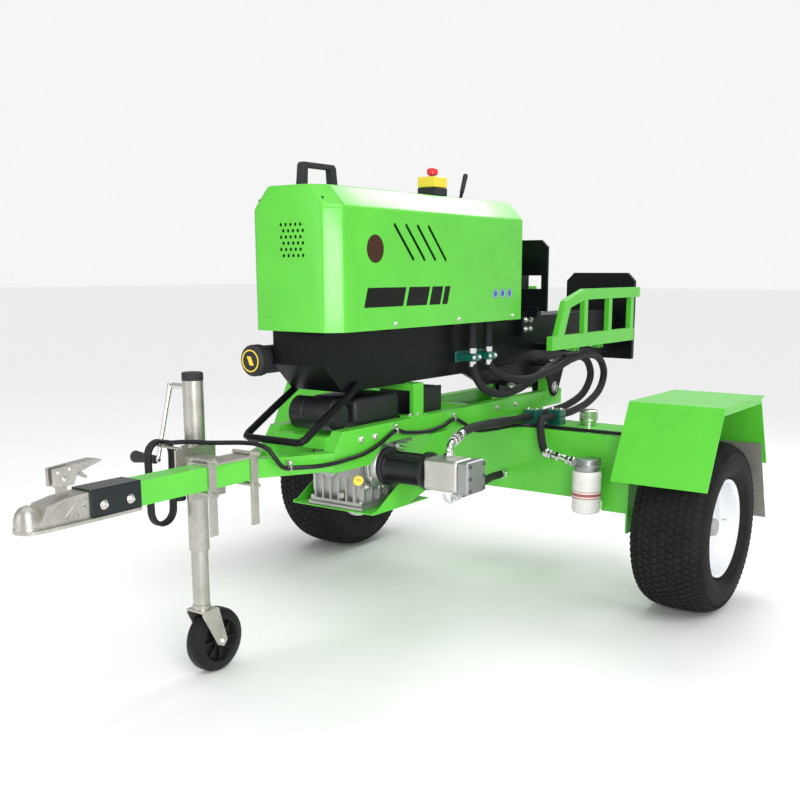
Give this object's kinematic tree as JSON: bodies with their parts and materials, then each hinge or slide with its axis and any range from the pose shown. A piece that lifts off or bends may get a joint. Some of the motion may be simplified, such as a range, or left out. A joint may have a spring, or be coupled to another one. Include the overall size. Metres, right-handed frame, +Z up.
{
  "type": "log splitter",
  "caption": "Towable hydraulic log splitter: tilting beam with ram and wedge under a hood, engine and pump, oil tank, fenders, ball coupler and swing-up jockey jack.",
  "frame": {"origin": "on the ground, under the middle of the whole machine", "axes": "-X is the towing direction (coupler), +X the foot-plate end, -Y the trailer's left side, +Z up"},
  "size_m": [2.9928, 1.86, 1.4933],
  "materials": {
    "green_paint": "gloss powder coat",
    "black_paint": "satin powder coat",
    "zinc_plate": "bright zinc plate",
    "mudflap_steel": "dull zinc plate",
    "chrome": "hard chrome",
    "tyre": "matt turf tyre",
    "black_rubber": "matt",
    "hose_rubber": "woven sleeve",
    "cable_rubber": "smooth sheath",
    "white_rim": "gloss white",
    "filter_white": "gloss white",
    "hub_grey": "grey paint",
    "engine_aluminium": "die cast",
    "pump_aluminium": "die cast",
    "filter_head_grey": "die cast",
    "engine_black": "satin",
    "fuel_tank_plastic": "satin",
    "teal_block": "satin",
    "valve_iron": "painted casting",
    "yellow_plastic": "moulded",
    "red_plastic": "moulded",
    "black_plastic": "moulded"
  },
  "bodies": {
    "frame": {"drawbar": "green_paint", "chassis_rails": "green_paint", "pivot_pin": "zinc_plate", "beam_rest": "green_paint", "oil_tank": "green_paint", "filler_breather": "chrome", "axle": "green_paint", "left_fender": "green_paint", "right_fender": "green_paint", "left_mudflap": "mudflap_steel", "right_mudflap": "mudflap_steel", "coupler_body": "zinc_plate", "jack_bracket": "zinc_plate", "engine_tray": "green_paint", "engine_block": "engine_aluminium", "fan_shroud": "engine_black", "fuel_tank": "fuel_tank_plastic", "muffler": "engine_black", "bell_housing": "engine_black", "pump_body": "pump_aluminium", "oil_filter": "filter_white", "filter_head": "filter_head_grey", "hose_blocks": "teal_block", "pressure_hose": "hose_rubber", "return_hose": "hose_rubber", "suction_hose": "hose_rubber", "trailer_cable": "cable_rubber", "cable_lead": "cable_rubber", "cable_hank": "cable_rubber", "trailer_plug": "black_plastic"},
    "beam": {"beam": "black_paint", "foot_plate": "black_paint", "cylinder_barrel": "black_paint", "log_stripper": "black_paint", "hood": "green_paint", "hood_handle": "black_paint", "estop_box": "yellow_plastic", "control_valve": "valve_iron", "lift_handle": "black_paint", "document_canister": "black_plastic"},
    "ram": {"ram_rod": "chrome", "wedge": "black_paint"},
    "valve_lever": {"control_lever": "black_paint"},
    "stop_button": {"estop_button": "red_plastic"},
    "left_cradle": {"left_cradle": "green_paint"},
    "right_cradle": {"right_cradle": "green_paint"},
    "left_wheel": {"left_tyre": "tyre", "left_rim": "white_rim", "left_hub": "hub_grey"},
    "right_wheel": {"right_tyre": "tyre", "right_rim": "white_rim", "right_hub": "hub_grey"},
    "coupler_latch": {"coupler_lever": "zinc_plate"},
    "latch_trigger": {"coupler_trigger": "zinc_plate"},
    "jack": {"jack_outer_tube": "zinc_plate"},
    "jack_leg": {"jack_inner_tube": "zinc_plate"},
    "crank": {"jack_crank": "zinc_plate"},
    "grip": {"jack_grip": "black_plastic"},
    "caster": {"caster_fork": "zinc_plate"},
    "caster_wheel": {"caster_wheel": "black_rubber"}
  },
  "joints": [
    {"name": "beam_tilt", "type": "hinge", "parent": "frame", "child": "beam", "pos_m": [0.7761, 0, 0.725], "axis": [0, 1, 0], "range_deg": [0, 90], "deforming": ["pressure_hose", "return_hose"]},
    {"name": "ram_slide", "type": "slide", "parent": "beam", "child": "ram", "axis": [1, 0, 0], "range_m": [0, 0.6]},
    {"name": "lever_tilt", "type": "hinge", "parent": "beam", "child": "valve_lever", "pos_m": [0.1371, -0.08, 1.276], "axis": [0, 1, 0], "range_deg": [-12, 12], "stiffness_Nm_per_rad": 20},
    {"name": "stop_press", "type": "slide", "parent": "beam", "child": "stop_button", "axis": [0, 0, -1], "range_m": [0, 0.0045], "stiffness_N_per_m": 800, "springref_m": -0.002},
    {"name": "left_cradle_fold", "type": "hinge", "parent": "beam", "child": "left_cradle", "pos_m": [0.9161, -0.2165, 0.88], "axis": [1, 0, 0], "range_deg": [0, 90]},
    {"name": "right_cradle_fold", "type": "hinge", "parent": "beam", "child": "right_cradle", "pos_m": [0.9161, 0.2165, 0.88], "axis": [-1, 0, 0], "range_deg": [0, 90]},
    {"name": "left_wheel_spin", "type": "hinge", "parent": "frame", "child": "left_wheel", "pos_m": [0.6161, -0.785, 0.3], "axis": [0, 1, 0], "continuous": true},
    {"name": "right_wheel_spin", "type": "hinge", "parent": "frame", "child": "right_wheel", "pos_m": [0.6161, 0.785, 0.3], "axis": [0, 1, 0], "continuous": true},
    {"name": "latch_lift", "type": "hinge", "parent": "frame", "child": "coupler_latch", "pos_m": [-1.3719, 0, 0.706], "axis": [0, -1, 0], "range_deg": [0, 80]},
    {"name": "trigger_squeeze", "type": "hinge", "parent": "coupler_latch", "child": "latch_trigger", "pos_m": [-1.3289, 0, 0.709], "axis": [0, -1, 0], "range_deg": [0, 15], "stiffness_Nm_per_rad": 0.05, "springref_deg": -14.32},
    {"name": "jack_swing", "type": "hinge", "parent": "frame", "child": "jack", "pos_m": [-0.8009, 0.172, 0.64], "axis": [0, 1, 0], "range_deg": [0, 90]},
    {"name": "crank_turn", "type": "hinge", "parent": "jack", "child": "crank", "pos_m": [-0.8009, 0.172, 0.85], "axis": [0, 1, 0], "range_deg": [-1440, 5760]},
    {"name": "leg_slide", "type": "slide", "parent": "jack", "child": "jack_leg", "axis": [0, 0, 1], "range_m": [-0.0401, 0.1601]},
    {"name": "grip_spin", "type": "hinge", "parent": "crank", "child": "grip", "pos_m": [-0.8569, 0.275, 0.641], "axis": [0, 1, 0], "continuous": true},
    {"name": "caster_swivel", "type": "hinge", "parent": "jack_leg", "child": "caster", "pos_m": [-0.8009, 0.172, 0.217], "axis": [0, 0, 1], "continuous": true},
    {"name": "caster_spin", "type": "hinge", "parent": "caster", "child": "caster_wheel", "pos_m": [-0.7559, 0.172, 0.096], "axis": [0, 1, 0], "continuous": true}
  ],
  "couplings": [
    {"joint": "leg_slide", "follows": "crank_turn", "m_per_rad": 0.0015915}
  ]
}
